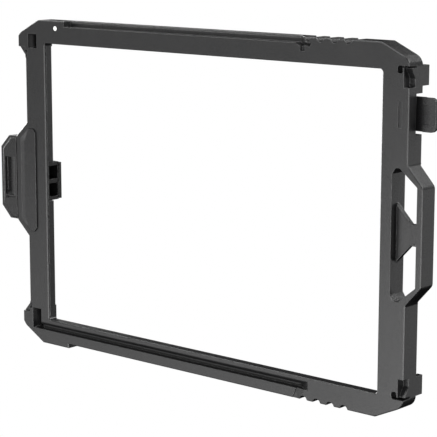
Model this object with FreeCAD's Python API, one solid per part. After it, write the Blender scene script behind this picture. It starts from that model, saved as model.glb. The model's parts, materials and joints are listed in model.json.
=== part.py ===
"""Snap-on rectangular filter frame for a matte box, built as separate pieces. Millimetres.

The origin is on the optical axis, in the plane of the front face. +X is to the right seen from
the front, +Y runs back through the frame and +Z is up.
"""
import FreeCAD
import Part
import math
import os

# Filter and opening
filter_width = 143.5
filter_height = 101.6
side_overlap = 3.75          # how far the flange covers the filter at each side
top_overlap = 4.1            # and above and below
opening_corner_radius = 1.0
filter_clearance = 0.3
filter_shift = -0.9          # the filter sits left of the axis, clear of the handle

# Moulded frame
frame_depth = 6.5
flange_depth = 3.2           # front flange that the filter seats on
handle_depth = 6.0
side_rail = 9.1
top_rail = 7.5
bottom_rail = 6.9
left_corner_drop = 1.4       # the lower left corner stands below the bottom rail
edge_break = 0.25
seat_corner_radius = 2.0

# Corner ears on the left and cut corners on the right
ear_reach = 3.45
ear_face_height = 3.7
ear_slope_height = 3.85
ear_from_top = 7.2            # from the frame's top edge to the middle of the ear
ear_set_back = 0.9
corner_cut_width = 9.7
corner_cut_height = 4.46
corner_round = 3.5
ear_round = 1.0

# Front recess along the top, groove along the bottom
step_left = 9.3              # both start this far inside the opening's left edge
step_right = 29.4            # and end this far short of its right edge
recess_plate_height = 5.7
recess_depth = 3.2
recess_wall_bevel = 0.6
run_out = 4.4
end_slant = 1.8
end_pocket_height = 0.9
end_pocket_depth = 2.8
end_window_width = 1.8
end_window_height = 1.4
end_window_depth = 0.9
lip_height = 3.2
groove_width = 1.25
groove_depth = 2.3
groove_round = 1.75
lip_end_depth = 0.35
lip_end_length = 3.0
wall_line_depth = 0.25       # a fine line round the left wall of the opening
wall_line_width = 0.35
wall_line_back = 0.5

# Grip notches
notch_count = 4
notch_pitch = 5.0
notch_first = 26.8           # the leftmost one, from the opening's right edge
notch_depth = 1.25
notch_radius = 1.5

# Stacking sockets in the front and pegs on the back
socket_left_width = 2.8
socket_left_inset = 1.35       # inside the rail's outer edge
socket_top_height = 4.7
socket_bottom_height = 6.9
socket_depth = 4.8
socket_run_out = 1.3
socket_right_width = 1.9
socket_right_height = 6.1
socket_right_depth = 2.9
socket_right_drop = 6.2       # below the frame's top edge
socket_low_shift = 0.85      # the lower right socket sits this much nearer the middle
side_pocket_width = 1.8
side_pocket_height = 2.2
side_pocket_depth = 2.4
side_pocket_rib = 0.35
end_slot_width = 0.7         # the deep slot at the outer end of each right socket
end_slot_depth = 3.6
socket_ramp_depth = 1.1
socket_deep_length = 2.4
peg_length = 3.1
peg_left_length = 2.0         # the left pair stays hidden behind the frame
peg_clearance = 0.2

# Handle on the right
handle_reach = 5.2
handle_bar = 1.9
handle_center_height = 0.3
handle_half_height = 19.9
handle_slope_height = 5.75
handle_round = 2.0
handle_root_round = 1.5
window_in = 5.25             # from the right rail's outer face to the window's left side
window_half_height = 19.1
window_corner = 2.3
web_depth_front = 1.95
web_thickness = 1.5
web_height = 0.6              # the web's middle above the optical axis
web_root_half = 9.3
web_tip_half = 3.1
web_slope_length = 5.4
web_groove_width = 0.6
web_groove_depth = 0.8
web_rim_width = 0.45
web_rim_depth = 0.35

# Spring latch on the left
latch_height = 0.5           # its centre above the optical axis
boss_half_height = 14.4
boss_half_foot = 19.3
boss_reach = 5.3
boss_wall = 1.2
bolt_half_height = 6.4
bolt_front = 1.25
bolt_slide_clearance = 0.05
bolt_height_clearance = 0.15
bolt_nose_gap = 0.4          # the nose stands this far outside the opening's edge
bolt_length = 8.4
bolt_rib = 1.4
bolt_wall = 0.4
bolt_pocket_length = 6.0
bolt_lip_length = 1.25
bolt_lip_height = 1.0
wing_reach = 4.5
wing_length = 1.55
wing_front = 2.0
wing_back = 4.9
stem_half_height = 3.0
stem_front = 2.3
stem_back = 4.7
stem_length_in_grip = 3.8
spring_gap = 2.4             # from the bolt's side to the spring's axis
spring_radius = 1.15
spring_wire = 0.36
spring_turns = 5
pin_radius = 0.5
pin_sleeve_clearance = 0.15
cover_left = 3.05            # past the rail's outer edge
cover_right = 4.4            # short of it, on the rail
cover_half_height = 17.45
cover_slope = 3.6
cover_rise = 0.5
cover_seat = 0.85
cover_bevel_width = 2.2
cover_clearance = 0.04
cover_peg_radius = 0.8
cover_peg_length = 2.2
plate_thickness = 0.55
plate_margin = 2.6           # how far the plate passes the bolt's wings, up and down
plate_edge = 0.8
plate_clearance = 0.05

# Grip
grip_gap = 0.2
grip_width = 8.0
grip_half_height = 14.2
grip_corner = 4.1
grip_depth = 6.2
grip_bevel_width = 0.9
grip_bevel_depth = 0.55
grip_rim = 1.2
scoop_left = 2.2
scoop_right = 0.8
scoop_depth = 1.3
scoop_floor = 0.5
scoop_top = 7.0
scoop_bottom = -4.9
scoop_end_slope = 1.5
scoop_edge_depth = 0.1
scoop_groove = 0.9
scoop_groove_gap = 0.15
scoop_groove_depth = 0.8

# Lock lever on the right
lever_notch_drop = 14.1       # below the frame's top edge
lever_notch_height = 11.5
lever_notch_depth = 2.95     # cut from the back face
lever_notch_in = 5.1         # from the right rail's outer face
lever_end_gap = 0.95
lever_reach = 5.95
lever_thickness = 1.2
lever_tab_in = 2.1           # depths below the back face
lever_tab_length = 4.4
lever_arm_in = 1.5
lever_arm_thickness = 1.2
lever_rim = 1.9
lever_dish = 0.4
lever_corner = 1.6
lever_pivot_in = 2.9         # from the right rail's outer face to the pin
lever_barrel_radius = 1.25
lever_pin_radius = 0.6
lever_pin_clearance = 0.05
lever_pin_in = 1.45
lever_claw_length = 1.2
lever_claw_half = 2.9
lever_claw_in = 3.1          # from the right rail's outer face to its left side
lever_claw_out = 1.6         # behind the back face
lever_spring_radius = 0.95
lever_spring_wire = 0.28
lever_spring_turns = 4
lever_spring_room = 2.2
bracket_thickness = 0.6
bracket_width = 3.2
bracket_height = 4.3
bracket_overlap = 2.4
bracket_gap = 0.2
slot_length = 7.5
slot_width = 1.3
slot_depth = 0.4
slot_in = 3.55               # from the right rail's outer face

# Screws, pads and the index dot
screw_radius = 0.6
screw_head_radius = 1.1
screw_head_height = 0.5
screw_drive = 0.35
screw_length = 2.2
screw_clearance = 0.02
grip_screw_offset = 1.7
keeper_from_right = 6.0
keeper_thickness = 0.8
keeper_width = 6.0
keeper_reach = 1.6
keeper_edge = 0.6
pad_thickness = 0.4
pad_width = 2.2
pad_margin = 0.5
dot_radius = 0.72
dot_depth = 0.6
dot_proud = 0.03
dot_from_left = 5.3
dot_above_opening = 5.1

# Places that follow from the sizes above
open_half_x = filter_width / 2 - side_overlap
open_half_z = filter_height / 2 - top_overlap
rail_left = -open_half_x - side_rail
rail_right = open_half_x + side_rail
frame_top = open_half_z + top_rail
frame_bottom = -open_half_z - bottom_rail
corner_bottom = frame_bottom - left_corner_drop
seat_left = filter_shift - filter_width / 2 - filter_clearance
seat_right = filter_shift + filter_width / 2 + filter_clearance
seat_half_z = filter_height / 2 + filter_clearance / 2
handle_right = rail_right + handle_reach
window_right = handle_right - handle_bar
ear_left = rail_left - ear_reach
boss_left = rail_left - boss_reach
step_x0 = -open_half_x + step_left
step_x1 = open_half_x - step_right
ear_center_height = frame_top - ear_from_top
socket_right_top = frame_top - socket_right_drop
window_left = rail_right - window_in
slot_left = rail_right - slot_in
lever_notch_left = rail_right - lever_notch_in
lever_notch_high = frame_top - lever_notch_drop
lever_notch_low = lever_notch_high - lever_notch_height
socket_x0 = rail_left + socket_left_inset
socket_x1 = socket_x0 + socket_left_width
nose_x = -open_half_x - bolt_nose_gap
bolt_x0 = nose_x - bolt_length
chamber_x0 = boss_left + boss_wall
chamber_x1 = seat_left - 0.6
wing_x1 = chamber_x1 - bolt_slide_clearance
wing_x0 = wing_x1 - wing_length
plate_x1 = chamber_x1 - 0.2
plate_x0 = boss_left + plate_edge
plate_half_height = bolt_half_height + wing_reach + plate_margin
plate_front = frame_depth - plate_thickness
bolt_back = plate_front - bolt_slide_clearance
grip_right = boss_left - grip_gap
grip_left = grip_right - grip_width
screw_offset_z = (plate_half_height + bolt_half_height + wing_reach) / 2
screw_x = (plate_x0 + plate_x1) / 2
lever_low = lever_notch_low + lever_end_gap
lever_high = lever_notch_high - lever_end_gap
lever_mid = (lever_notch_low + lever_notch_high) / 2
lever_pivot = rail_right - lever_pivot_in
lever_end = rail_right + lever_reach
lever_tab_front = frame_depth - lever_tab_in
lever_arm_front = frame_depth - lever_arm_in
lever_arm_back = lever_arm_front + lever_arm_thickness
lever_pin_y = frame_depth - lever_pin_in
lever_claw_back = frame_depth + lever_claw_out
bracket_x = seat_right + 0.6 + bracket_width / 2
keeper_x = open_half_x - keeper_from_right
spring_y = (wing_front + wing_back) / 2
spring_offset = bolt_half_height + spring_gap
grip_screw_x = grip_right - stem_length_in_grip / 2


def box(x, y, z):
    """A box between the two ends given on each axis."""
    corner = FreeCAD.Vector(min(x), min(y), min(z))
    return Part.makeBox(abs(x[1] - x[0]), abs(y[1] - y[0]), abs(z[1] - z[0]), corner)


def prism_y(points, y0, y1):
    """An outline in X and Z, carried from y0 to y1."""
    wire = Part.makePolygon([FreeCAD.Vector(x, y0, z) for x, z in points + points[:1]])
    return Part.Face(wire).extrude(FreeCAD.Vector(0, y1 - y0, 0))


def prism_z(points, z0, z1):
    """An outline in X and Y, carried from z0 to z1."""
    wire = Part.makePolygon([FreeCAD.Vector(x, y, z0) for x, y in points + points[:1]])
    return Part.Face(wire).extrude(FreeCAD.Vector(0, 0, z1 - z0))


def prism_x(points, x0, x1):
    """An outline in Y and Z, carried from x0 to x1."""
    wire = Part.makePolygon([FreeCAD.Vector(x0, y, z) for y, z in points + points[:1]])
    return Part.Face(wire).extrude(FreeCAD.Vector(x1 - x0, 0, 0))


def rod(radius, start, end):
    """A cylinder from one point to another."""
    a = FreeCAD.Vector(*start)
    b = FreeCAD.Vector(*end)
    return Part.makeCylinder(radius, (b - a).Length, a, b - a)


def fuse_all(shapes):
    joined = shapes[0]
    for shape in shapes[1:]:
        joined = joined.fuse(shape)
    return joined.removeSplitter()


def cut_all(body, cutters):
    for cutter in cutters:
        body = body.cut(cutter)
    return body


def edges_where(shape, test):
    """The edges whose every vertex passes the test."""
    return [edge for edge in shape.Edges if all(test(v.Point) for v in edge.Vertexes)]


def frame_outline():
    """The front outline, clockwise from the upper left ear."""
    ear_low = ear_center_height - ear_face_height / 2
    ear_high = ear_center_height + ear_face_height / 2
    foot = ear_low - ear_slope_height
    boss_top = latch_height + boss_half_height
    boss_low = latch_height - boss_half_height
    handle_top = handle_center_height + handle_half_height
    handle_low = handle_center_height - handle_half_height
    left_cut = frame_top - ear_high - 1.2
    return [
        (ear_left, ear_low), (ear_left, ear_high), (ear_left + 1.2, ear_high + 1.2),
        (ear_left + 1.2 + 2 * left_cut, frame_top),
        (rail_right - corner_cut_width, frame_top), (rail_right, frame_top - corner_cut_height),
        (rail_right, handle_top), (handle_right, handle_top - handle_slope_height),
        (handle_right, handle_low + handle_slope_height), (rail_right, handle_low),
        (rail_right, frame_bottom + corner_cut_height), (rail_right - corner_cut_width, frame_bottom),
        (step_x0, frame_bottom), (step_x0, corner_bottom),
        (ear_left + 1.2 + 2 * left_cut, corner_bottom),
        (ear_left + 1.2, -ear_high - 1.4), (ear_left, -ear_high), (ear_left, -ear_low),
        (rail_left, -foot), (rail_left, latch_height - boss_half_foot),
        (boss_left, boss_low), (boss_left, boss_top),
        (rail_left, latch_height + boss_half_foot), (rail_left, foot),
    ]


def outline_rounds():
    """The outline corners that are rounded, and their radii."""
    ear = ear_center_height
    half = ear_face_height / 2
    handle_top = handle_center_height + handle_half_height
    handle_low = handle_center_height - handle_half_height
    rounds = [((rail_right, frame_top - corner_cut_height), corner_round),
              ((rail_right, frame_bottom + corner_cut_height), corner_round),
              ((rail_right, handle_top), handle_root_round), ((rail_right, handle_low), handle_root_round),
              ((handle_right, handle_top - handle_slope_height), handle_round),
              ((handle_right, handle_low + handle_slope_height), handle_round)]
    rounds += [((ear_left, side * (ear + end * half)), ear_round) for side in (1, -1) for end in (1, -1)]
    return rounds


def round_outline(body):
    """The outline's corners, rounded about the Y direction."""
    for (x, z), radius in outline_rounds():
        near = [e for e in body.Edges if all(abs(v.X - x) + abs(v.Z - z) < 1e-4 for v in e.Vertexes)]
        body = body.makeFillet(radius, near)
    return body


def rounded_opening():
    """The through opening, with a small radius in its corners."""
    block = box((-open_half_x, open_half_x), (-1, frame_depth + 1), (-open_half_z, open_half_z))
    corners = edges_where(block, lambda p: True)
    upright = [e for e in corners if abs(e.Vertexes[0].Y - e.Vertexes[1].Y) > 1]
    return block.makeFillet(opening_corner_radius, upright)


def filter_seat():
    """The pocket in the back that the filter drops into."""
    block = box((seat_left, seat_right), (flange_depth, frame_depth + 1), (-seat_half_z, seat_half_z))
    upright = [e for e in block.Edges if abs(e.Vertexes[0].Y - e.Vertexes[1].Y) > 1]
    return block.makeFillet(seat_corner_radius, upright)


def top_recess():
    """The open step along the top, which runs out to the face on the right."""
    low = open_half_z + recess_plate_height
    flat = step_x1 - end_slant
    ramp = [(step_x0, -1), (step_x0, recess_depth), (flat, recess_depth), (flat + run_out, 0),
            (flat + run_out, -1)]
    step = prism_z(ramp, low, frame_top + 1)
    bevel_low = frame_top - recess_wall_bevel
    bevel = prism_x([(recess_depth, bevel_low), (recess_depth + recess_wall_bevel, frame_top),
                     (recess_depth, frame_top)], step_x0, flat)
    foot = low - end_pocket_height
    end = step_x1 + run_out
    slant = prism_y([(flat, low + 0.1), (step_x1, foot), (end - 0.6, foot), (end, low + 0.1)],
                    -1, end_pocket_depth)
    fade = prism_z([(flat - 1, -1), (flat - 1, end_pocket_depth), (step_x1 + 1.2, end_pocket_depth),
                    (end, 0), (end, -1)], foot - 1, low + 1)
    window = box((step_x1 + 0.3, step_x1 + 0.3 + end_window_width), (-1, end_window_depth),
                 (foot - end_window_height, foot + 0.2))
    return fuse_all([step, bevel, slant.common(fade), window])


def bottom_groove():
    """The groove above the bottom lip: its upper side is a round, its end runs out to the face."""
    lip_top = frame_bottom + lip_height
    roof = lip_top + groove_width
    start = socket_x1 - 0.5
    end = step_x1
    channel = box((start, end), (-1, groove_depth), (lip_top, roof))
    block = box((start, end + run_out), (-1, groove_round), (roof - 0.01, roof + groove_round))
    round_axis = rod(groove_round, (start - 1, groove_round, roof + groove_round),
                     (end + run_out + 1, groove_round, roof + groove_round))
    run = prism_z([(end - 0.01, -1), (end - 0.01, groove_depth), (end + run_out, 0),
                   (end + run_out, -1)], lip_top, roof)
    far = end + lip_end_length
    lip_end = prism_y([(end, lip_top + 0.1), (end - 1.5, frame_bottom - 0.1),
                       (far - 1.5, frame_bottom - 0.1), (far, lip_top + 0.1)], -1, lip_end_depth)
    fade = prism_z([(end - 2, -1), (end - 2, lip_end_depth), (end, lip_end_depth), (far, 0), (far, -1)],
                   frame_bottom - 1, lip_top + 1)
    slope = prism_z([(start, -1), (start, groove_depth), (end, groove_depth), (end + run_out, 0),
                     (end + run_out, -1)], lip_top - 1, roof + groove_round + 1)
    return fuse_all([channel, block.cut(round_axis).common(slope), run, lip_end.common(fade)])


def left_socket(z0, z1):
    """A deep stacking socket with a run-out on its right side."""
    deep = box((socket_x0, socket_x1), (-1, socket_depth), (z0, z1))
    ramp = prism_z([(socket_x1 - 0.01, -1), (socket_x1 - 0.01, groove_depth),
                    (socket_x1 + socket_run_out, 0), (socket_x1 + socket_run_out, -1)], z0, z1)
    return deep.fuse(ramp)


def right_socket_span(side):
    """How far from the optical axis a right socket starts and ends; side is 1 for the upper one."""
    outer = socket_right_top
    if side < 0:
        outer -= socket_low_shift
    return outer - socket_right_height, outer


def right_socket(side):
    """The notch in a right corner with its small side pocket; side is 1 for the upper one."""
    inner, outer = right_socket_span(side)
    x0 = rail_right - socket_right_width
    slot = outer - end_slot_width
    profile = [(-1, inner), (socket_right_depth, inner), (socket_right_depth, inner + socket_deep_length),
               (socket_ramp_depth, slot), (end_slot_depth, slot), (end_slot_depth, outer), (-1, outer)]
    notch = prism_x([(y, side * z) for y, z in profile], x0, rail_right + 1)
    pocket_x1 = x0 - side_pocket_rib
    pocket = box((pocket_x1 - side_pocket_width, pocket_x1), (-1, side_pocket_depth),
                 (side * outer, side * (outer - side_pocket_height)))
    upright = [e for e in pocket.Edges if abs(e.Vertexes[0].Y - e.Vertexes[1].Y) > 1]
    pocket = pocket.makeFillet(0.7, upright)
    throat = box((pocket_x1 - side_pocket_width + 0.7, x0 + 0.1), (-1, end_slot_depth),
                 (side * outer, side * slot))
    return notch.fuse(pocket).fuse(throat)


def stacking_pegs():
    """The four pegs on the back, each sized to the socket in front of it."""
    shrink = peg_clearance
    back = frame_depth + peg_length
    left_back = frame_depth + peg_left_length
    root = frame_depth - 0.5
    low = socket_bottom_height
    right = (rail_right - socket_right_width + shrink, rail_right)
    high = right_socket_span(1)
    deep = right_socket_span(-1)
    left = (socket_x0 + shrink, socket_x1 - shrink)
    top_z = socket_top_edge()
    pegs = [box(right, (root, back), (high[0] + shrink, high[1] - shrink)),
            box(right, (root, back), (-deep[1] + shrink, -deep[0] - shrink)),
            box(left, (root, left_back), (top_z - socket_top_height + shrink, top_z - shrink)),
            box(left, (root, left_back), (-top_z - 0.8 + shrink, -top_z - 0.8 + low - shrink))]
    return pegs


def socket_top_edge():
    return ear_center_height + ear_face_height / 2 + 0.7


def grip_notches():
    """Round notches across the top and bottom edges, right of the middle."""
    cutters = []
    for index in range(notch_count):
        x = open_half_x - notch_first + index * notch_pitch
        for edge, side in ((frame_top, 1), (frame_bottom, -1)):
            z = edge + side * (notch_radius - notch_depth)
            cutters.append(rod(notch_radius, (x, -1, z), (x, frame_depth + 1, z)))
    return cutters


def handle_window():
    """The finger window, with the web left standing across it."""
    top = handle_center_height + window_half_height
    low = handle_center_height - window_half_height
    slope = handle_slope_height - 0.9
    bevel = window_corner
    outline = [(window_left, low + 1.8), (window_left, top - 1.8), (window_left + 1.2, top),
               (window_left + 1.2 + bevel - 0.9, top), (window_right, top - slope),
               (window_right, low + slope), (window_left + 1.2 + bevel - 0.9, low),
               (window_left + 1.2, low)]
    window = prism_y(outline, -1, frame_depth + 1)
    root = window_left - 0.5
    tip = window_right + 0.5
    bend = window_left + web_slope_length
    mid = web_height
    back = web_depth_front + web_thickness
    web = prism_y([(root, mid - web_root_half), (bend, mid - web_tip_half), (tip, mid - web_tip_half),
                   (tip, mid + web_tip_half), (bend, mid + web_tip_half), (root, mid + web_root_half)],
                  web_depth_front, back)
    rim = web_rim_width
    inside = prism_y([(root, mid - web_root_half + rim), (bend, mid - web_tip_half + rim),
                      (tip, mid - web_tip_half + rim), (tip, mid + web_tip_half - rim),
                      (bend, mid + web_tip_half - rim), (root, mid + web_root_half - rim)],
                     web_depth_front - 1, web_depth_front + web_rim_depth)
    groove = box((root, window_left + web_groove_width),
                 (web_depth_front - 1, web_depth_front + web_groove_depth),
                 (mid - web_root_half, mid + web_root_half))
    return window.cut(cut_all(web, [inside, groove]))


def latch_cavity():
    """The space for the bolt, its wings and springs, open to the back and to the opening."""
    half = bolt_half_height + bolt_height_clearance
    z = latch_height
    body = box((chamber_x0, -open_half_x + 1), (bolt_front - bolt_slide_clearance, frame_depth + 1),
               (z - half, z + half))
    reach = half + wing_reach + 0.3
    wings = box((chamber_x0, chamber_x1), (wing_front - 0.1, plate_front + 0.01), (z - reach, z + reach))
    plate = box((plate_x0 - plate_clearance, plate_x1 + plate_clearance), (plate_front, frame_depth + 1),
                (z - plate_half_height - plate_clearance, z + plate_half_height + plate_clearance))
    stem = box((boss_left - 1, chamber_x0 + 1),
               (stem_front - bolt_slide_clearance, stem_back + bolt_slide_clearance),
               (z - stem_half_height - bolt_height_clearance, z + stem_half_height + bolt_height_clearance))
    holes = []
    for side in (1, -1):
        at = z + side * spring_offset
        holes.append(rod(pin_radius, (chamber_x0 - 0.8, spring_y, at), (chamber_x0 + 0.5, spring_y, at)))
    return [body, wings, plate, stem] + holes


def cover_outline(grow):
    """The latch cover's outline, grown outwards by a clearance."""
    left = rail_left - cover_left - grow
    right = rail_left + cover_right + grow
    half = cover_half_height + grow
    z = latch_height
    return [(left, z - half + cover_slope), (left, z + half - cover_slope),
            (left + cover_slope + 0.2, z + half), (right - 1.2, z + half), (right, z + half - 1.2),
            (right, z - half + 1.2), (right - 1.2, z - half), (left + cover_slope + 0.2, z - half)]


def cover_pegs(radius, length):
    """Two round pegs on the back of the cover, above and below the latch cavity."""
    x = rail_left - 0.2
    pegs = []
    for side in (1, -1):
        z = latch_height + side * (cover_half_height - 2.4)
        pegs.append(rod(radius, (x, cover_seat - 0.2, z), (x, cover_seat + length, z)))
    return pegs


def lever_room():
    """The notch in the back of the right rail that the lock lever works in."""
    front = frame_depth - lever_notch_depth
    room = box((lever_notch_left, rail_right + 1), (front, frame_depth + 1),
               (lever_notch_low, lever_notch_high))
    seats = []
    for z0, z1 in ((lever_notch_low - bracket_overlap, lever_notch_low + 0.01),
                   (lever_notch_high - 0.01, lever_notch_high + bracket_overlap)):
        seats.append(rod(lever_pin_radius, (lever_pivot, lever_pin_y, z0), (lever_pivot, lever_pin_y, z1)))
        seats.append(box((lever_pivot - lever_pin_radius, lever_pivot + lever_pin_radius),
                         (lever_pin_y, frame_depth + 1), (z0, z1)))
    return [room] + seats


def main_frame():
    """The one-piece moulding: flange, rails, boss, handle, ears and stacking pegs."""
    body = round_outline(prism_y(frame_outline(), 0, frame_depth))
    opening = rounded_opening()
    body = body.cut(opening)
    front_edges = edges_where(body, lambda p: abs(p.y) < 1e-6)
    body = body.makeChamfer(edge_break, front_edges)
    body = fuse_all([body] + stacking_pegs())
    handle_back = box((rail_right, handle_right + 1), (handle_depth, frame_depth + 1),
                      (handle_center_height - handle_half_height, handle_center_height + handle_half_height))
    top_z = socket_top_edge()
    low_z = -top_z - 0.8
    cutters = [filter_seat(), top_recess(), bottom_groove(), handle_window(), handle_back,
               left_socket(top_z - socket_top_height, top_z),
               left_socket(low_z, low_z + socket_bottom_height),
               right_socket(1), right_socket(-1)]
    cutters += ear_steps() + grip_notches() + latch_cavity() + lever_room()
    cutters.append(prism_y(cover_outline(cover_clearance), -1, cover_seat))
    cutters += cover_pegs(cover_peg_radius, cover_peg_length + 0.3)
    cutters.append(box((slot_left, slot_left + slot_width), (-1, slot_depth),
                       (lever_mid - slot_length / 2, lever_mid + slot_length / 2)))
    cutters.append(dot_shape(dot_radius + screw_clearance, -1, dot_depth))
    line = open_half_z - 0.8
    cutters.append(box((-open_half_x - wall_line_depth, -open_half_x + 0.2),
                       (wall_line_back, wall_line_back + wall_line_width), (-line, line)))
    cutters += frame_screw_holes()
    return cut_all(body, cutters)


def ear_steps():
    """The slopes between ears and rail lie a little behind the face, each with a small corner pit."""
    steps = []
    low = ear_center_height - ear_face_height / 2
    foot = low - ear_slope_height
    for side in (1, -1):
        steps.append(box((ear_left - 1, rail_left - 0.05), (-1, ear_set_back),
                         (side * low, side * (foot - 1))))
        steps.append(prism_y([(rail_left - 1.3, side * (low - 1.1)), (rail_left + 0.75, side * (low - 1.1)),
                              (rail_left + 0.75, side * (foot + 0.5))], -1, 2.0))
    return steps


def bracket_places():
    """The heights of the two pin brackets, and of the screw in each."""
    high = lever_notch_high + bracket_gap
    low = lever_notch_low - bracket_gap
    inset = screw_head_radius
    return [(high, high + bracket_height, high + bracket_height - inset),
            (low - bracket_height, low, low - bracket_height + inset)]


def keeper_places():
    """The height of each filter keeper's screw, and which way is outwards."""
    return [((seat_half_z + frame_top) / 2, 1), ((-seat_half_z + frame_bottom) / 2, -1)]


def screw_hole(x, z, back, depth):
    return rod(screw_radius + screw_clearance, (x, back - depth, z), (x, back, z))


def screw(x, z, back, length):
    """A countersunk screw with its head flush at y = back and a cross recess in the head."""
    neck = back - screw_head_height
    axis = FreeCAD.Vector(0, -1, 0)
    head = Part.makeCone(screw_head_radius, screw_radius, screw_head_height,
                         FreeCAD.Vector(x, back, z), axis)
    shank = rod(screw_radius, (x, back - length, z), (x, neck + 0.01, z))
    long = 2.2 * screw_drive
    slots = [box((x - long, x + long), (back - screw_drive, back + 1), (z - 0.14, z + 0.14)),
             box((x - 0.14, x + 0.14), (back - screw_drive, back + 1), (z - long, z + long))]
    return cut_all(head.fuse(shank), slots)


def countersink(x, z, back):
    """The seat for a screw head whose top is flush at y = back."""
    grow = screw_clearance
    axis = FreeCAD.Vector(0, -1, 0)
    return Part.makeCone(screw_head_radius + 2 * grow, screw_radius + grow, screw_head_height + grow,
                         FreeCAD.Vector(x, back + grow, z), axis)


def frame_screw_holes():
    holes = [screw_hole(screw_x, latch_height + side * screw_offset_z, frame_depth, screw_length + 0.3)
             for side in (1, -1)]
    behind = frame_depth + 0.1
    holes += [screw_hole(bracket_x, place[2], behind, screw_length) for place in bracket_places()]
    holes += [screw_hole(keeper_x, z, behind, screw_length) for z, side in keeper_places()]
    return holes


def dot_shape(radius, y0, y1):
    x = -open_half_x + dot_from_left
    z = open_half_z + dot_above_opening
    return rod(radius, (x, y0, z), (x, y1, z))


def latch_cover():
    """The raised plate over the latch, with a wide bevel on its left and two pegs behind."""
    base = prism_y(cover_outline(0), 0, cover_seat - 0.02)
    low = cover_outline(0)
    left = min(x for x, z in low)
    high = []
    for x, z in low:
        inward = cover_bevel_width * max(0.0, 1 - (x - left) / (cover_slope + 1.0))
        high.append((x + inward, z - math.copysign(0.12 + 0.35 * inward, z - latch_height)))
    wires = [Part.makePolygon([FreeCAD.Vector(x, y, z) for x, z in points + points[:1]])
             for points, y in ((low, 0), (high, -cover_rise))]
    raised = Part.makeLoft(wires, True, True)
    return fuse_all([base, raised] + cover_pegs(cover_peg_radius - screw_clearance, cover_peg_length))


def latch_bolt():
    """The sprung bolt: a cored nose, a lip behind it, two wings for the springs and a stem."""
    z = latch_height
    body = box((bolt_x0, nose_x), (bolt_front, bolt_back), (z - bolt_half_height, z + bolt_half_height))
    edge = -open_half_x
    lip = box((edge - bolt_lip_length, edge), (bolt_back - 0.01, bolt_back + bolt_lip_height),
              (z - bolt_half_height + 0.3, z + bolt_half_height - 0.3))
    reach = bolt_half_height + wing_reach
    wings = box((wing_x0, wing_x1), (wing_front, wing_back), (z - reach, z + reach))
    stem = box((grip_right - stem_length_in_grip, bolt_x0 + 1), (stem_front, stem_back),
               (z - stem_half_height, z + stem_half_height))
    cutters = []
    for side in (1, -1):
        cutters.append(box((nose_x - bolt_pocket_length, nose_x + 1),
                           (bolt_front + bolt_wall, bolt_back - bolt_wall + 0.1),
                           (z + side * bolt_rib / 2, z + side * (bolt_half_height - 1.2))))
        at = z + side * spring_offset
        cutters.append(rod(pin_radius + pin_sleeve_clearance, (wing_x0 - 1, spring_y, at),
                           (wing_x1 + 1, spring_y, at)))
        cutters.append(screw_hole(grip_screw_x, z + side * grip_screw_offset, stem_back, screw_length))
    return cut_all(fuse_all([body, lip, wings, stem]), cutters)


def grip_outline(inset):
    """The grip seen from the front, drawn in from its left, upper and lower edges."""
    half = grip_half_height - 0.5 * inset
    left = grip_left + inset
    corner = grip_corner
    z = latch_height
    return [(grip_right, z - half), (left + corner, z - half), (left, z - half + corner),
            (left, z + half - corner), (left + corner, z + half), (grip_right, z + half)]


def latch_grip():
    """The pull on the left: bevelled rim, finger scoop and a slot for the bolt's stem."""
    z = latch_height
    body = prism_y(grip_outline(0), grip_bevel_depth, grip_depth)
    wires = [Part.makePolygon([FreeCAD.Vector(x, y, h) for x, h in points + points[:1]])
             for points, y in ((grip_outline(grip_rim - grip_bevel_width / 2), grip_bevel_depth),
                               (grip_outline(grip_rim + grip_bevel_width / 2), 0))]
    body = body.fuse(Part.makeLoft(wires, True, True))
    x0 = grip_left + scoop_left
    x1 = grip_right - scoop_right
    wedge = [(x0, -1), (x0, scoop_depth), (x0 + scoop_floor, scoop_depth), (x1, scoop_edge_depth), (x1, -1)]
    low = z + scoop_bottom
    scoop = prism_z(wedge, low, z + scoop_top)
    slope = prism_x([(-1, low - scoop_end_slope), (0, low - scoop_end_slope), (scoop_depth, low),
                     (scoop_depth, low + 1), (-1, low + 1)], x0, x1)
    ramp = prism_z(wedge, low - scoop_end_slope, low + 1)
    scoop = scoop.fuse(slope.common(ramp))
    top = low - scoop_end_slope - scoop_groove_gap
    groove = prism_y([(x0 + 0.2, top), (x1 + 0.2, top + 0.3), (x1 + 0.2, top - 0.2),
                      (x0 + 0.2, top - scoop_groove)], -1, scoop_groove_depth)
    back = prism_z([(grip_left + 1.4, grip_depth + 1), (grip_left + 1.4, grip_depth - 1.6),
                    (grip_right - stem_length_in_grip - 1.2, grip_depth + 0.01),
                    (grip_right - stem_length_in_grip - 1.2, grip_depth + 1)], z - 9.0, z + 9.0)
    slot = box((grip_right - stem_length_in_grip - bolt_slide_clearance, grip_right + 1),
               (stem_front - bolt_slide_clearance, stem_back + bolt_slide_clearance),
               (z - stem_half_height - bolt_slide_clearance, z + stem_half_height + bolt_slide_clearance))
    cutters = [scoop, groove, back, slot]
    for side in (1, -1):
        at = z + side * grip_screw_offset
        cutters.append(screw_hole(grip_screw_x, at, grip_depth + 0.1, grip_depth - stem_back + 0.2))
        cutters.append(countersink(grip_screw_x, at, grip_depth))
    return cut_all(body, cutters)


def coil(radius, wire, turns, length):
    """A helical wire along +Z from z = 0, its ends inside the length."""
    pitch = (length - wire) / turns
    circle = Part.makeCircle(wire / 2, FreeCAD.Vector(radius, 0, 0), FreeCAD.Vector(0, 1, 0))
    path = Part.Wire(Part.makeLongHelix(pitch, pitch * turns, radius))
    spring = path.makePipeShell([Part.Wire(circle)], True, True)
    spring.translate(FreeCAD.Vector(0, 0, wire / 2))
    return spring


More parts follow.
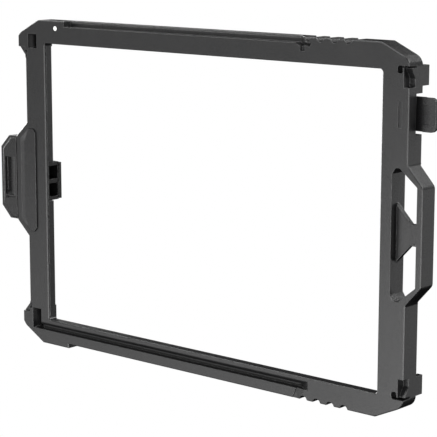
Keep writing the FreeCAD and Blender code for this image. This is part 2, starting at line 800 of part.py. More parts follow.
def latch_spring(side):
    """A compression spring over its pin, between the boss wall and the bolt's wing."""
    spring = coil(spring_radius, spring_wire, spring_turns, wing_x0 - chamber_x0)
    spring.rotate(FreeCAD.Vector(0, 0, 0), FreeCAD.Vector(0, 1, 0), 90)
    spring.translate(FreeCAD.Vector(chamber_x0, spring_y, latch_height + side * spring_offset))
    return spring


def spring_pin(side):
    z = latch_height + side * spring_offset
    return rod(pin_radius - 0.01, (chamber_x0 - 0.8, spring_y, z), (chamber_x1 - 0.1, spring_y, z))


def latch_back_plate():
    """The thin steel plate that closes the latch from behind."""
    plate = box((plate_x0, plate_x1), (plate_front, frame_depth),
                (latch_height - plate_half_height, latch_height + plate_half_height))
    cutters = []
    for side in (1, -1):
        z = latch_height + side * screw_offset_z
        cutters += [countersink(screw_x, z, frame_depth), screw_hole(screw_x, z, frame_depth, 1)]
    return cut_all(plate, cutters)


def lock_lever():
    """The finger lever: a barrel on the pin, a dished tab outside the rail and a claw behind."""
    barrel = rod(lever_barrel_radius, (lever_pivot, lever_pin_y, lever_low),
                 (lever_pivot, lever_pin_y, lever_high))
    tab_x0 = lever_end - lever_tab_length
    arm = box((lever_pivot, tab_x0 + 0.2), (lever_arm_front, lever_arm_back), (lever_low, lever_high))
    tab_back = lever_tab_front + lever_thickness
    cut = lever_corner
    tab = box((tab_x0, lever_end), (lever_tab_front, tab_back), (lever_low, lever_high))
    outer = [e for e in tab.Edges if all(abs(v.X - lever_end) < 1e-6 for v in e.Vertexes)
             and abs(e.Vertexes[0].Z - e.Vertexes[1].Z) < 1e-6]
    tab = tab.makeFillet(cut, outer)
    claw_x0 = rail_right - lever_claw_in
    claw = box((claw_x0, claw_x0 + lever_claw_length), (lever_pin_y, lever_claw_back),
               (lever_mid - lever_claw_half, lever_mid + lever_claw_half))
    bore = rod(lever_pin_radius + lever_pin_clearance, (lever_pivot, lever_pin_y, lever_low - 1),
               (lever_pivot, lever_pin_y, lever_high + 1))
    half = lever_spring_room / 2
    room = rod(lever_spring_radius + lever_spring_wire, (lever_pivot, lever_pin_y, lever_mid - half),
               (lever_pivot, lever_pin_y, lever_mid + half))
    dish = box((tab_x0 - 1, lever_end - 0.35), (lever_tab_front - 1, lever_tab_front + lever_dish),
               (lever_low + lever_rim, lever_high - lever_rim))
    return cut_all(fuse_all([barrel, arm, tab, claw]), [bore, room, dish])


def lever_spring():
    """The torsion spring on the pin: a coil with a leg on the frame and a leg on the arm."""
    length = lever_spring_room - 0.3
    spring = coil(lever_spring_radius, lever_spring_wire, lever_spring_turns, length)
    half = lever_spring_wire / 2
    frame_leg = rod(half, (lever_spring_radius, 0, half), (lever_spring_radius, -1.3, half))
    spring = spring.fuse(frame_leg)
    spring.translate(FreeCAD.Vector(lever_pivot, lever_pin_y, lever_mid - length / 2))
    return spring


def lever_pin():
    return rod(lever_pin_radius - 0.01, (lever_pivot, lever_pin_y, lever_notch_low - bracket_overlap),
               (lever_pivot, lever_pin_y, lever_notch_high + bracket_overlap))


def pin_bracket(place):
    """A small plate on the back face that keeps one end of the lever's pin in its slot."""
    low, high, screw_z = place
    plate = box((bracket_x - bracket_width / 2, bracket_x + bracket_width / 2),
                (frame_depth, frame_depth + bracket_thickness), (low, high))
    back = frame_depth + bracket_thickness
    return cut_all(plate, [countersink(bracket_x, screw_z, back), screw_hole(bracket_x, screw_z, back, 2)])


def filter_keeper(z, side):
    """A small plate on the back face whose end reaches over the filter's edge."""
    inner = side * (seat_half_z - keeper_reach)
    outer = frame_top - keeper_edge if side > 0 else frame_bottom + keeper_edge
    back = frame_depth + keeper_thickness
    half = keeper_width / 2
    plate = box((keeper_x - half, keeper_x + half), (frame_depth, back), (inner, outer))
    return cut_all(plate, [countersink(keeper_x, z, back), screw_hole(keeper_x, z, back, 2)])


def pad_strip(x, z):
    return box(x, (flange_depth, flange_depth + pad_thickness), z)


def filter_pads():
    """Thin foam strips on the flange: top, bottom, right, and left in two lengths beside the bolt."""
    z1 = seat_half_z - pad_margin
    z0 = z1 - pad_width
    x_end = open_half_x - 10
    right = (seat_right - pad_margin - pad_width, seat_right - pad_margin)
    left = (seat_left + pad_margin, seat_left + pad_margin + pad_width)
    side_z = open_half_z - 6
    bolt_z = bolt_half_height + 3
    lefts = [pad_strip(left, (latch_height + bolt_z, side_z)),
             pad_strip(left, (-side_z, latch_height - bolt_z))]
    return {
        "top_filter_pad": pad_strip((-x_end, x_end), (z0, z1)),
        "bottom_filter_pad": pad_strip((-x_end, x_end), (-z1, -z0)),
        "right_filter_pad": pad_strip(right, (-side_z, side_z)),
        "left_filter_pads": Part.Compound(lefts),
    }


def write(name, shape):
    shape.exportStep(os.path.join("parts", name + ".step"))
    print(name, round(shape.Volume, 1), "mm3,", len(shape.Solids), "solids, valid", shape.isValid())


def main():
    os.makedirs("parts", exist_ok=True)
    sides = (1, -1)
    brackets = bracket_places()
    keepers = keeper_places()
    bracket_back = frame_depth + bracket_thickness
    keeper_back = frame_depth + keeper_thickness
    pieces = {
        "main_frame": main_frame(),
        "latch_cover": latch_cover(),
        "latch_bolt": latch_bolt(),
        "latch_grip": latch_grip(),
        "grip_screws": Part.Compound([screw(grip_screw_x, latch_height + s * grip_screw_offset, grip_depth,
                                            grip_depth - stem_back + screw_length - 0.1) for s in sides]),
        "latch_spring_upper": latch_spring(1),
        "latch_spring_lower": latch_spring(-1),
        "spring_pin_upper": spring_pin(1),
        "spring_pin_lower": spring_pin(-1),
        "latch_back_plate": latch_back_plate(),
        "back_plate_screws": Part.Compound([screw(screw_x, latch_height + s * screw_offset_z, frame_depth,
                                                  screw_length) for s in sides]),
        "lock_lever": lock_lever(),
        "lever_pin": lever_pin(),
        "lever_spring": lever_spring(),
        "upper_pin_bracket": pin_bracket(brackets[0]),
        "lower_pin_bracket": pin_bracket(brackets[1]),
        "bracket_screws": Part.Compound([screw(bracket_x, place[2], bracket_back, screw_length)
                                         for place in brackets]),
        "upper_filter_keeper": filter_keeper(*keepers[0]),
        "lower_filter_keeper": filter_keeper(*keepers[1]),
        "keeper_screws": Part.Compound([screw(keeper_x, z, keeper_back, screw_length) for z, s in keepers]),
        "index_dot": dot_shape(dot_radius, -dot_proud, dot_depth),
    }
    pieces.update(filter_pads())
    for name, shape in pieces.items():
        write(name, shape)


main()
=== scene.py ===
import json
import math
import bmesh
import bpy
from mathutils import Matrix, Vector


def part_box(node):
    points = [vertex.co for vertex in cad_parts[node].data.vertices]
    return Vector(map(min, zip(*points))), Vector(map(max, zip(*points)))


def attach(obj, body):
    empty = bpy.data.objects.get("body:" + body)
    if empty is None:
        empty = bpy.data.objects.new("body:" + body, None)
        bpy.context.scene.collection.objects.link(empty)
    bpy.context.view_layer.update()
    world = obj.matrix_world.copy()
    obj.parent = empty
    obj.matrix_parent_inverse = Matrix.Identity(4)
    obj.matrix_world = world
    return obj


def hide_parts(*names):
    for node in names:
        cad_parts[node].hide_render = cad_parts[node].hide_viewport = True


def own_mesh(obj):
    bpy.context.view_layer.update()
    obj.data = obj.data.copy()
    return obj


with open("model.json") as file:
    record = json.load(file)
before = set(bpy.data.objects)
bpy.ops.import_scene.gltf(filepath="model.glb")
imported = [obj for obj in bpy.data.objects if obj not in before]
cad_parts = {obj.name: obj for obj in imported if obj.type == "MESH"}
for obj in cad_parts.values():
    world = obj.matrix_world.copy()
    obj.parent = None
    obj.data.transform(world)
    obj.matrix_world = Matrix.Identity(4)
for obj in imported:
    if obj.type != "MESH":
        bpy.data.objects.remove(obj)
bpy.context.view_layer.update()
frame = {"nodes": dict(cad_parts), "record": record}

nodes = frame["nodes"]

texture = {"pebble": 5200, "cells": 6500, "slow": 95, "patch": 400}
# how sharp a turn must be before an edge is painted lighter, as wear and as a painted edge highlight
wearHighlightEdge = {"flat": 0.985, "gain": 6.0, "samples": 6}
facets = {"coil": 40, "wire": 12, "head": 40, "shank": 24}


def newGroup(name, inputs, outputs):
    tree = bpy.data.node_groups.new(name, "ShaderNodeTree")
    for label, kind, value in inputs:
        socket = tree.interface.new_socket(name=label, in_out="INPUT", socket_type=kind)
        socket.default_value = value
    for label, kind in outputs:
        tree.interface.new_socket(name=label, in_out="OUTPUT", socket_type=kind)
    return tree, tree.nodes.new("NodeGroupInput"), tree.nodes.new("NodeGroupOutput")


def mathNode(tree, operation, a, b=None, clamp=False):
    node = tree.nodes.new("ShaderNodeMath")
    node.operation = operation
    node.use_clamp = clamp
    for index, value in enumerate((a, b)):
        if value is None:
            continue
        if isinstance(value, (int, float)):
            node.inputs[index].default_value = value
        else:
            tree.links.new(value, node.inputs[index])
    return node.outputs[0]


def mouldedGrain():
    # spark-eroded mould texture: a fine pebble over a slow mottle
    tree, start, end = newGroup("mouldedGrain", [
        ("Scale", "NodeSocketFloat", 1.0), ("Mottle", "NodeSocketFloat", 0.2),
        ("Tint Low", "NodeSocketColor", (0.02, 0.02, 0.02, 1)),
        ("Tint High", "NodeSocketColor", (0.04, 0.04, 0.04, 1)),
        ("Rough Low", "NodeSocketFloat", 0.4), ("Rough High", "NodeSocketFloat", 0.6)],
        [("Color", "NodeSocketColor"), ("Roughness", "NodeSocketFloat"), ("Height", "NodeSocketFloat")])
    place = tree.nodes.new("ShaderNodeTexCoord")
    scaled = tree.nodes.new("ShaderNodeVectorMath")
    scaled.operation = "SCALE"
    tree.links.new(place.outputs["Object"], scaled.inputs[0])
    tree.links.new(start.outputs["Scale"], scaled.inputs["Scale"])
    pebble = tree.nodes.new("ShaderNodeTexNoise")
    pebble.inputs["Scale"].default_value = texture["pebble"]
    pebble.inputs["Detail"].default_value = 3
    cells = tree.nodes.new("ShaderNodeTexVoronoi")
    cells.inputs["Scale"].default_value = texture["cells"]
    slow = tree.nodes.new("ShaderNodeTexNoise")
    slow.inputs["Scale"].default_value = texture["slow"]
    slow.inputs["Detail"].default_value = 4
    for node in (pebble, cells, slow):
        tree.links.new(scaled.outputs[0], node.inputs["Vector"])
    height = mathNode(tree, "ADD", pebble.outputs["Fac"],
                      mathNode(tree, "MULTIPLY", cells.outputs["Distance"], 0.5))
    mixed = mathNode(tree, "ADD", mathNode(tree, "MULTIPLY", pebble.outputs["Fac"], 0.5),
                     mathNode(tree, "MULTIPLY", slow.outputs["Fac"], start.outputs["Mottle"]), True)
    tint = tree.nodes.new("ShaderNodeMix")
    tint.data_type = "RGBA"
    tree.links.new(mixed, tint.inputs[0])
    tree.links.new(start.outputs["Tint Low"], tint.inputs[6])
    tree.links.new(start.outputs["Tint High"], tint.inputs[7])
    rough = tree.nodes.new("ShaderNodeMapRange")
    tree.links.new(mixed, rough.inputs["Value"])
    rough.inputs["From Min"].default_value = 0.2
    rough.inputs["From Max"].default_value = 0.6
    tree.links.new(start.outputs["Rough Low"], rough.inputs["To Min"])
    tree.links.new(start.outputs["Rough High"], rough.inputs["To Max"])
    tree.links.new(tint.outputs[2], end.inputs["Color"])
    tree.links.new(rough.outputs[0], end.inputs["Roughness"])
    tree.links.new(height, end.inputs["Height"])
    return tree


def edgeWearHighlight():
    # where the surface turns sharply the colour is painted lighter, unevenly: partly rubbed wear, partly a
    # painted highlight along the edges
    tree, start, end = newGroup("edgeWearHighlight", [
        ("Color", "NodeSocketColor", (0.03, 0.03, 0.03, 1)), ("Wear Highlight Color", "NodeSocketColor", (0.1, 0.1, 0.1, 1)),
        ("Radius", "NodeSocketFloat", 0.00025), ("Amount", "NodeSocketFloat", 0.5)],
        [("Color", "NodeSocketColor"), ("Mask", "NodeSocketFloat"), ("Normal", "NodeSocketVector")])
    place = tree.nodes.new("ShaderNodeTexCoord")
    geometry = tree.nodes.new("ShaderNodeNewGeometry")
    bevel = tree.nodes.new("ShaderNodeBevel")
    bevel.samples = wearHighlightEdge["samples"]
    tree.links.new(start.outputs["Radius"], bevel.inputs["Radius"])
    turned = tree.nodes.new("ShaderNodeVectorMath")
    turned.operation = "DOT_PRODUCT"
    tree.links.new(bevel.outputs[0], turned.inputs[0])
    tree.links.new(geometry.outputs["True Normal"], turned.inputs[1])
    patch = tree.nodes.new("ShaderNodeTexNoise")
    patch.inputs["Scale"].default_value = texture["patch"]
    tree.links.new(place.outputs["Object"], patch.inputs["Vector"])
    # this mask paints sharp edges lighter: a painted edge highlight as well as wear
    sharp = mathNode(tree, "MULTIPLY", mathNode(tree, "SUBTRACT", wearHighlightEdge["flat"], turned.outputs["Value"]),
                     wearHighlightEdge["gain"], True)
    wearHighlightMask = mathNode(tree, "MULTIPLY", mathNode(tree, "MULTIPLY", sharp, patch.outputs["Fac"]),
                    start.outputs["Amount"], True)
    tint = tree.nodes.new("ShaderNodeMix")
    tint.data_type = "RGBA"
    tree.links.new(wearHighlightMask, tint.inputs[0])
    tree.links.new(start.outputs["Color"], tint.inputs[6])
    tree.links.new(start.outputs["Wear Highlight Color"], tint.inputs[7])
    tree.links.new(tint.outputs[2], end.inputs["Color"])
    tree.links.new(wearHighlightMask, end.inputs["Mask"])
    tree.links.new(bevel.outputs[0], end.inputs["Normal"])
    return tree


grainGroup = mouldedGrain()
wearHighlightGroup = edgeWearHighlight()
relief = {"plastic": 0.00006, "metal": 0.00004, "metalStrength": 0.15}


def newMaterial(name):
    material = bpy.data.materials.new(name)
    material.use_nodes = True
    return material, material.node_tree, material.node_tree.nodes["Principled BSDF"]


def wearHighlightAndBump(tree, shader, color, height, look, strength, distance):
    # the lighter edges, partly wear and partly a painted edge highlight, and the fine relief that every
    # finish has
    wearHighlight = tree.nodes.new("ShaderNodeGroup")
    wearHighlight.node_tree = wearHighlightGroup
    wearHighlight.inputs["Wear Highlight Color"].default_value = (*look["wearHighlightColor"], 1)
    wearHighlight.inputs["Radius"].default_value = look["edge"]
    wearHighlight.inputs["Amount"].default_value = look["wearHighlightAmount"]
    bump = tree.nodes.new("ShaderNodeBump")
    bump.inputs["Strength"].default_value = strength
    bump.inputs["Distance"].default_value = distance
    tree.links.new(color, wearHighlight.inputs["Color"])
    tree.links.new(wearHighlight.outputs["Color"], shader.inputs["Base Color"])
    tree.links.new(height, bump.inputs["Height"])
    tree.links.new(wearHighlight.outputs["Normal"], bump.inputs["Normal"])
    tree.links.new(bump.outputs[0], shader.inputs["Normal"])


def plastic(name, look):
    material, tree, shader = newMaterial(name)
    shader.inputs["Specular IOR Level"].default_value = look["specular"]
    grain = tree.nodes.new("ShaderNodeGroup")
    grain.node_tree = grainGroup
    grain.inputs["Scale"].default_value = look["scale"]
    grain.inputs["Mottle"].default_value = look["mottle"]
    grain.inputs["Tint Low"].default_value = (*look["low"], 1)
    grain.inputs["Tint High"].default_value = (*look["high"], 1)
    grain.inputs["Rough Low"].default_value = look["rough"][0]
    grain.inputs["Rough High"].default_value = look["rough"][1]
    tree.links.new(grain.outputs["Roughness"], shader.inputs["Roughness"])
    wearHighlightAndBump(tree, shader, grain.outputs["Color"], grain.outputs["Height"], look, look["bump"],
               relief["plastic"])
    return material


# the worn colour lifts every sharp edge of the frame to a light grey: a painted edge highlight as well as
# wear
framePlastic = plastic("charcoalFrame", {
    "low": (0.004, 0.004, 0.0042), "high": (0.010, 0.010, 0.0103), "wearHighlightColor": (0.14, 0.14, 0.14),
    "rough": (0.24, 0.34), "scale": 1.0, "mottle": 0.25, "bump": 0.18, "edge": 0.00022, "wearHighlightAmount": 0.8,
    "specular": 0.5})
trimPlastic = plastic("charcoalTrim", {
    "low": (0.004, 0.004, 0.0042), "high": (0.009, 0.009, 0.0093), "wearHighlightColor": (0.14, 0.14, 0.14),
    "rough": (0.23, 0.33), "scale": 1.15, "mottle": 0.2, "bump": 0.18, "edge": 0.00024, "wearHighlightAmount": 0.8,
    "specular": 0.5})
boltPlastic = plastic("slipBlack", {
    "low": (0.002, 0.002, 0.002), "high": (0.006, 0.006, 0.006), "wearHighlightColor": (0.10, 0.10, 0.10),
    "rough": (0.20, 0.30), "scale": 1.6, "mottle": 0.2, "bump": 0.2, "edge": 0.00015, "wearHighlightAmount": 0.4,
    "specular": 0.45})
padFoam = plastic("padFoam", {
    "low": (0.004, 0.004, 0.004), "high": (0.016, 0.016, 0.016), "wearHighlightColor": (0.02, 0.02, 0.02),
    "rough": (0.85, 0.98), "scale": 0.6, "mottle": 0.3, "bump": 0.9, "edge": 0.0001, "wearHighlightAmount": 0.0,
    "specular": 0.2})
dotPaint = plastic("whiteDot", {
    "low": (0.80, 0.80, 0.79), "high": (0.88, 0.88, 0.87), "wearHighlightColor": (0.9, 0.9, 0.9),
    "rough": (0.30, 0.40), "scale": 1.0, "mottle": 0.1, "bump": 0.1, "edge": 0.00005, "wearHighlightAmount": 0.1,
    "specular": 0.5})


def metal(name, look):
    material, tree, shader = newMaterial(name)
    shader.inputs["Metallic"].default_value = 1.0
    place = tree.nodes.new("ShaderNodeTexCoord")
    stretch = tree.nodes.new("ShaderNodeMapping")
    stretch.inputs["Scale"].default_value = look["stretch"]
    tree.links.new(place.outputs["Object"], stretch.inputs["Vector"])
    lines = tree.nodes.new("ShaderNodeTexNoise")
    lines.inputs["Scale"].default_value = look["scale"]
    lines.inputs["Detail"].default_value = 5
    tree.links.new(stretch.outputs[0], lines.inputs["Vector"])
    tint = tree.nodes.new("ShaderNodeMix")
    tint.data_type = "RGBA"
    tree.links.new(lines.outputs["Fac"], tint.inputs[0])
    tint.inputs[6].default_value = (*look["low"], 1)
    tint.inputs[7].default_value = (*look["high"], 1)
    rough = tree.nodes.new("ShaderNodeMapRange")
    tree.links.new(lines.outputs["Fac"], rough.inputs["Value"])
    rough.inputs["To Min"].default_value = look["rough"][0]
    rough.inputs["To Max"].default_value = look["rough"][1]
    tree.links.new(rough.outputs[0], shader.inputs["Roughness"])
    wearHighlightAndBump(tree, shader, tint.outputs[2], lines.outputs["Fac"], look, relief["metalStrength"],
               relief["metal"])
    return material


springSteel = metal("springWire", {
    "low": (0.30, 0.30, 0.30), "high": (0.50, 0.50, 0.49), "wearHighlightColor": (0.6, 0.6, 0.6), "rough": (0.25, 0.38),
    "scale": 900, "stretch": (1, 6, 6), "edge": 0.00003, "wearHighlightAmount": 0.3})
pinSteel = metal("groundPin", {
    "low": (0.38, 0.38, 0.38), "high": (0.56, 0.56, 0.55), "wearHighlightColor": (0.65, 0.65, 0.64), "rough": (0.18, 0.30),
    "scale": 1500, "stretch": (1, 1, 4), "edge": 0.00005, "wearHighlightAmount": 0.3})
blackSteel = metal("blackedPlate", {
    "low": (0.035, 0.035, 0.037), "high": (0.075, 0.075, 0.078), "wearHighlightColor": (0.28, 0.27, 0.26),
    "rough": (0.35, 0.5), "scale": 420, "stretch": (1, 1, 7), "edge": 0.0001, "wearHighlightAmount": 0.8})
screwSteel = metal("blackedScrew", {
    "low": (0.05, 0.05, 0.052), "high": (0.11, 0.11, 0.115), "wearHighlightColor": (0.4, 0.39, 0.38),
    "rough": (0.28, 0.42), "scale": 1800, "stretch": (1, 1, 1), "edge": 0.00008, "wearHighlightAmount": 0.8})

finishOf = {
    "frame_plastic": framePlastic, "trim_plastic": trimPlastic, "bolt_plastic": boltPlastic,
    "spring_steel": springSteel, "pin_steel": pinSteel, "plate_steel": blackSteel,
    "screw_steel": screwSteel, "pad_rubber": padFoam, "dot_paint": dotPaint}
for part in frame["record"]["subparts"]:
    node = nodes[part["node"]]
    node.data.materials.clear()
    node.data.materials.append(finishOf[part["material_slot"]])
print("finishes made")


def newTree(name, inputs):
    tree = bpy.data.node_groups.new(name, "GeometryNodeTree")
    for label, kind, value in [("Geometry", "NodeSocketGeometry", None)] + inputs:
        socket = tree.interface.new_socket(name=label, in_out="INPUT", socket_type=kind)
        if value is not None:
            socket.default_value = value
    tree.interface.new_socket(name="Geometry", in_out="OUTPUT", socket_type="NodeSocketGeometry")
    return tree, tree.nodes.new("NodeGroupInput"), tree.nodes.new("NodeGroupOutput")


def closeTree(tree, start, end, geometry):
    real = tree.nodes.new("GeometryNodeRealizeInstances")
    paint = tree.nodes.new("GeometryNodeSetMaterial")
    tree.links.new(geometry, real.inputs[0])
    tree.links.new(real.outputs[0], paint.inputs["Geometry"])
    tree.links.new(start.outputs["Material"], paint.inputs["Material"])
    tree.links.new(paint.outputs[0], end.inputs[0])


def coilTree():
    # a coil whose end turns lie close together, as on a spring with closed ends
    tree, start, end = newTree("coilSpring", [
        ("Radius", "NodeSocketFloat", 0.001), ("Wire", "NodeSocketFloat", 0.0003),
        ("Height", "NodeSocketFloat", 0.006), ("Turns", "NodeSocketFloat", 6.0),
        ("Closed", "NodeSocketFloat", 0.5), ("Material", "NodeSocketMaterial", None)])
    spiral = tree.nodes.new("GeometryNodeCurveSpiral")
    spiral.inputs["Resolution"].default_value = facets["coil"]
    for label, socket in (("Turns", "Rotations"), ("Radius", "Start Radius"), ("Radius", "End Radius")):
        tree.links.new(start.outputs[label], spiral.inputs[socket])
    spiral.inputs["Height"].default_value = 0
    along = tree.nodes.new("GeometryNodeSplineParameter")
    centred = mathNode(tree, "SUBTRACT", along.outputs["Factor"], 0.5)
    swing = mathNode(tree, "SINE", mathNode(tree, "MULTIPLY", centred, 2 * math.pi))
    eased = mathNode(tree, "ADD", centred, mathNode(tree, "MULTIPLY", mathNode(
        tree, "MULTIPLY", swing, start.outputs["Closed"]), 1 / (2 * math.pi)))
    room = mathNode(tree, "SUBTRACT", start.outputs["Height"], start.outputs["Wire"])
    lift = tree.nodes.new("ShaderNodeCombineXYZ")
    tree.links.new(mathNode(tree, "MULTIPLY", eased, room), lift.inputs["Z"])
    raised = tree.nodes.new("GeometryNodeSetPosition")
    tree.links.new(spiral.outputs[0], raised.inputs["Geometry"])
    tree.links.new(lift.outputs[0], raised.inputs["Offset"])
    ring = tree.nodes.new("GeometryNodeCurvePrimitiveCircle")
    ring.inputs["Resolution"].default_value = facets["wire"]
    tree.links.new(mathNode(tree, "MULTIPLY", start.outputs["Wire"], 0.5), ring.inputs["Radius"])
    wire = tree.nodes.new("GeometryNodeCurveToMesh")
    wire.inputs["Fill Caps"].default_value = True
    tree.links.new(raised.outputs[0], wire.inputs["Curve"])
    tree.links.new(ring.outputs[0], wire.inputs["Profile Curve"])
    smooth = tree.nodes.new("GeometryNodeSetShadeSmooth")
    tree.links.new(wire.outputs[0], smooth.inputs[0])
    closeTree(tree, start, end, smooth.outputs[0])
    return tree


def screwTree():
    # a countersunk cross-head screw on every point, each turned by its own chance amount
    tree, start, end = newTree("crossScrews", [
        ("Head Radius", "NodeSocketFloat", 0.001), ("Head Height", "NodeSocketFloat", 0.0005),
        ("Shank Radius", "NodeSocketFloat", 0.0006), ("Length", "NodeSocketFloat", 0.002),
        ("Slot Width", "NodeSocketFloat", 0.0003), ("Slot Depth", "NodeSocketFloat", 0.00035),
        ("Seed", "NodeSocketInt", 7), ("Material", "NodeSocketMaterial", None)])

    def moved(geometry, height):
        shift = tree.nodes.new("ShaderNodeCombineXYZ")
        tree.links.new(height, shift.inputs["Z"])
        node = tree.nodes.new("GeometryNodeTransform")
        tree.links.new(geometry, node.inputs["Geometry"])
        tree.links.new(shift.outputs[0], node.inputs["Translation"])
        return node.outputs[0]

    head = tree.nodes.new("GeometryNodeMeshCone")
    head.inputs["Vertices"].default_value = facets["head"]
    for label, socket in (("Head Radius", "Radius Top"), ("Shank Radius", "Radius Bottom"),
                          ("Head Height", "Depth")):
        tree.links.new(start.outputs[label], head.inputs[socket])
    headAt = moved(head.outputs["Mesh"], mathNode(tree, "MULTIPLY", start.outputs["Head Height"], -1.0))
    shank = tree.nodes.new("GeometryNodeMeshCylinder")
    shank.inputs["Vertices"].default_value = facets["shank"]
    shankLength = mathNode(tree, "SUBTRACT", start.outputs["Length"], start.outputs["Head Height"])
    tree.links.new(start.outputs["Shank Radius"], shank.inputs["Radius"])
    tree.links.new(shankLength, shank.inputs["Depth"])
    shankAt = moved(shank.outputs["Mesh"], mathNode(tree, "SUBTRACT", mathNode(
        tree, "MULTIPLY", shankLength, -0.5), start.outputs["Head Height"]))
    cut = tree.nodes.new("GeometryNodeMeshBoolean")
    cut.operation = "DIFFERENCE"
    tree.links.new(headAt, cut.inputs[0])
    for turned in (False, True):
        bar = tree.nodes.new("GeometryNodeMeshCube")
        size = tree.nodes.new("ShaderNodeCombineXYZ")
        reach = mathNode(tree, "MULTIPLY", start.outputs["Head Radius"], 1.3)
        tree.links.new(reach, size.inputs["Y" if turned else "X"])
        tree.links.new(start.outputs["Slot Width"], size.inputs["X" if turned else "Y"])
        tree.links.new(mathNode(tree, "MULTIPLY", start.outputs["Slot Depth"], 2.0), size.inputs["Z"])
        tree.links.new(size.outputs[0], bar.inputs["Size"])
        tree.links.new(bar.outputs["Mesh"], cut.inputs[1])
    joined = tree.nodes.new("GeometryNodeJoinGeometry")
    tree.links.new(shankAt, joined.inputs[0])
    tree.links.new(cut.outputs["Mesh"], joined.inputs[0])
    chance = tree.nodes.new("FunctionNodeRandomValue")
    chance.inputs[2].default_value = 0.0
    chance.inputs[3].default_value = 1.5
    tree.links.new(start.outputs["Seed"], chance.inputs["Seed"])
    spin = tree.nodes.new("ShaderNodeCombineXYZ")
    spin.inputs["X"].default_value = -math.pi / 2
    tree.links.new(chance.outputs[1], spin.inputs["Y"])
    place = tree.nodes.new("GeometryNodeInstanceOnPoints")
    tree.links.new(start.outputs["Geometry"], place.inputs["Points"])
    tree.links.new(joined.outputs[0], place.inputs["Instance"])
    tree.links.new(spin.outputs[0], place.inputs["Rotation"])
    closeTree(tree, start, end, place.outputs[0])
    return tree


def grow(name, points, tree, values, turn=None):
    # runs a tree over the points and returns the result as a plain mesh object
    seedMesh = bpy.data.meshes.new(name + "Seed")
    seedMesh.from_pydata(points, [], [])
    seed = bpy.data.objects.new(name + "Seed", seedMesh)
    bpy.context.scene.collection.objects.link(seed)
    modifier = seed.modifiers.new("grow", "NODES")
    modifier.node_group = tree
    for item in tree.interface.items_tree:
        if item.item_type == "SOCKET" and item.in_out == "INPUT" and item.name in values:
            modifier[item.identifier] = values[item.name]
    shown = seed.evaluated_get(bpy.context.evaluated_depsgraph_get())
    mesh = bpy.data.meshes.new_from_object(shown)
    bpy.data.objects.remove(seed)
    if turn is not None:
        mesh.transform(turn)
    piece = bpy.data.objects.new(name, mesh)
    bpy.context.scene.collection.objects.link(piece)
    return piece


coils = coilTree()
screws = screwTree()


def joinPieces(name, parts):
    whole = bmesh.new()
    for part in parts:
        whole.from_mesh(part.data)
    mesh = bpy.data.meshes.new(name)
    whole.to_mesh(mesh)
    whole.free()
    for material in parts[0].data.materials:
        mesh.materials.append(material)
    for part in parts:
        bpy.data.objects.remove(part)
    piece = bpy.data.objects.new(name, mesh)
    bpy.context.scene.collection.objects.link(piece)
    return piece


# pressed is the length left at full pull, as a share of the length at rest
latchSpring = {"turns": 6.0, "wire": 0.00036, "closed": 0.55, "pressed": 0.33}


def latchSprings():
    parts = []
    for node in ("latch_spring_upper", "latch_spring_lower"):
        low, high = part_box(node)
        middle = [(a + b) / 2 for a, b in zip(low, high)]
        turn = Matrix.Translation(middle) @ Matrix.Rotation(math.pi / 2, 4, "Y")
        values = {"Radius": (high[2] - low[2] - latchSpring["wire"]) / 2, "Wire": latchSpring["wire"],
                  "Height": high[0] - low[0], "Turns": latchSpring["turns"],
                  "Closed": latchSpring["closed"], "Material": springSteel}
        parts.append(grow(node + "Coil", [(0, 0, 0)], coils, values, turn))
    piece = joinPieces("latchSprings", parts)
    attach(piece, "frame")
    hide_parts("latch_spring_upper", "latch_spring_lower")
    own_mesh(piece)


screwLook = {"headHeight": 0.0005, "shank": 0.00058, "slotWidth": 0.00032, "slotDepth": 0.00034, "seed": 7}


def screwSet(name, body, groups):
    # every group is a pair of like screws, one above the other, with their heads at the back
    parts = []
    for node in groups:
        low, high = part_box(node)
        radius = (high[0] - low[0]) / 2
        across = (high[0] + low[0]) / 2
        points = [(across, high[1], low[2] + radius), (across, high[1], high[2] - radius)]
        values = {"Head Radius": radius, "Head Height": screwLook["headHeight"],
                  "Shank Radius": screwLook["shank"], "Length": high[1] - low[1],
                  "Slot Width": screwLook["slotWidth"], "Slot Depth": screwLook["slotDepth"],
                  "Seed": screwLook["seed"] + len(parts), "Material": screwSteel}
        parts.append(grow(node + "Set", points, screws, values))
    piece = joinPieces(name, parts)
    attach(piece, body)
    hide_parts(*groups)


latchSprings()
screwSet("frameScrews", "frame", ("back_plate_screws", "bracket_screws", "keeper_screws"))
screwSet("gripScrews", "latch", ("grip_screws",))
print("springs and screws made")


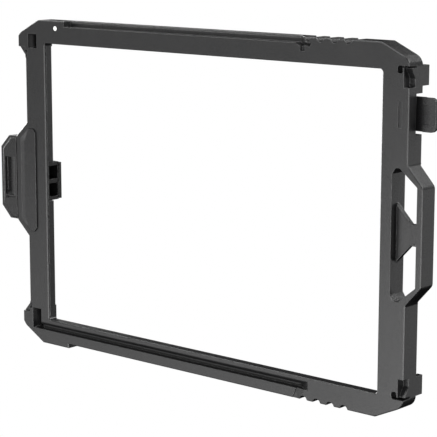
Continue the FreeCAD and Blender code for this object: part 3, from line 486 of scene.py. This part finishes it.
studio = {"distance": 1.2, "size": 0.6, "lights": {
    "highFarRight": (125, 42, 21.4), "lowFront": (-10, -22, 8.6), "top": (0, 88, 8.2),
    "lowRight": (50, -22, 7.8), "highLeft": (-40, 42, 6.6), "highFarLeft": (-115, 42, 6.6),
    "frontRight": (20, 8, 6.6), "right": (50, 8, 3.8), "farLeft": (-115, 8, 3.1),
    "back": (180, 20, 1.9), "lowLeft": (-40, -22, 1.9), "front": (-10, 8, 1.5),
    "left": (-75, 8, 1.5), "lowSide": (-75, -22, 1.0), "farRight": (125, 8, 0.9),
    "frontLeft": (-40, 8, 0.9), "farSide": (150, -10, 0.9), "rearLeft": (250, 5, 6)}}


def whiteSky():
    # white to the camera only: the light comes from the soft boxes
    world = bpy.data.worlds.new("sky")
    bpy.context.scene.world = world
    world.use_nodes = True
    tree = world.node_tree
    tree.nodes["Background"].inputs["Color"].default_value = (1, 1, 1, 1)
    path = tree.nodes.new("ShaderNodeLightPath")
    tree.links.new(path.outputs["Is Camera Ray"], tree.nodes["Background"].inputs["Strength"])


def areaLight(name, azimuth, elevation, power):
    # azimuth 0 stands in front of the frame and 90 to its right
    data = bpy.data.lights.new(name, "AREA")
    data.shape = "SQUARE"
    data.size = studio["size"]
    data.energy = power
    light = bpy.data.objects.new(name, data)
    bpy.context.scene.collection.objects.link(light)
    around, up = math.radians(azimuth), math.radians(elevation)
    toward = Vector((math.sin(around) * math.cos(up), -math.cos(around) * math.cos(up), math.sin(up)))
    light.location = toward * studio["distance"]
    light.rotation_euler = (-toward).to_track_quat("-Z", "Y").to_euler()


view = {"eye": (0.34267, -0.38681, 0.09046), "forward": (-0.64383, 0.74391, -0.17913),
        "up": (-0.1180, 0.1348, 0.9838), "lens": 140.36}


def setCamera():
    data = bpy.data.cameras.new("camera")
    data.lens = view["lens"]
    data.sensor_width = 36
    data.clip_start = 0.01
    data.clip_end = 50
    camera = bpy.data.objects.new("camera", data)
    bpy.context.scene.collection.objects.link(camera)
    back = -Vector(view["forward"]).normalized()
    right = Vector(view["up"]).cross(back).normalized()
    up = back.cross(right)
    turn = Matrix((right, up, back)).transposed()
    camera.matrix_world = Matrix.Translation(view["eye"]) @ turn.to_4x4()
    bpy.context.scene.camera = camera


whiteSky()
for name, (azimuth, elevation, power) in studio["lights"].items():
    areaLight(name, azimuth, elevation, power)
setCamera()
bpy.context.scene.view_settings.view_transform = "Standard"
print("studio made")
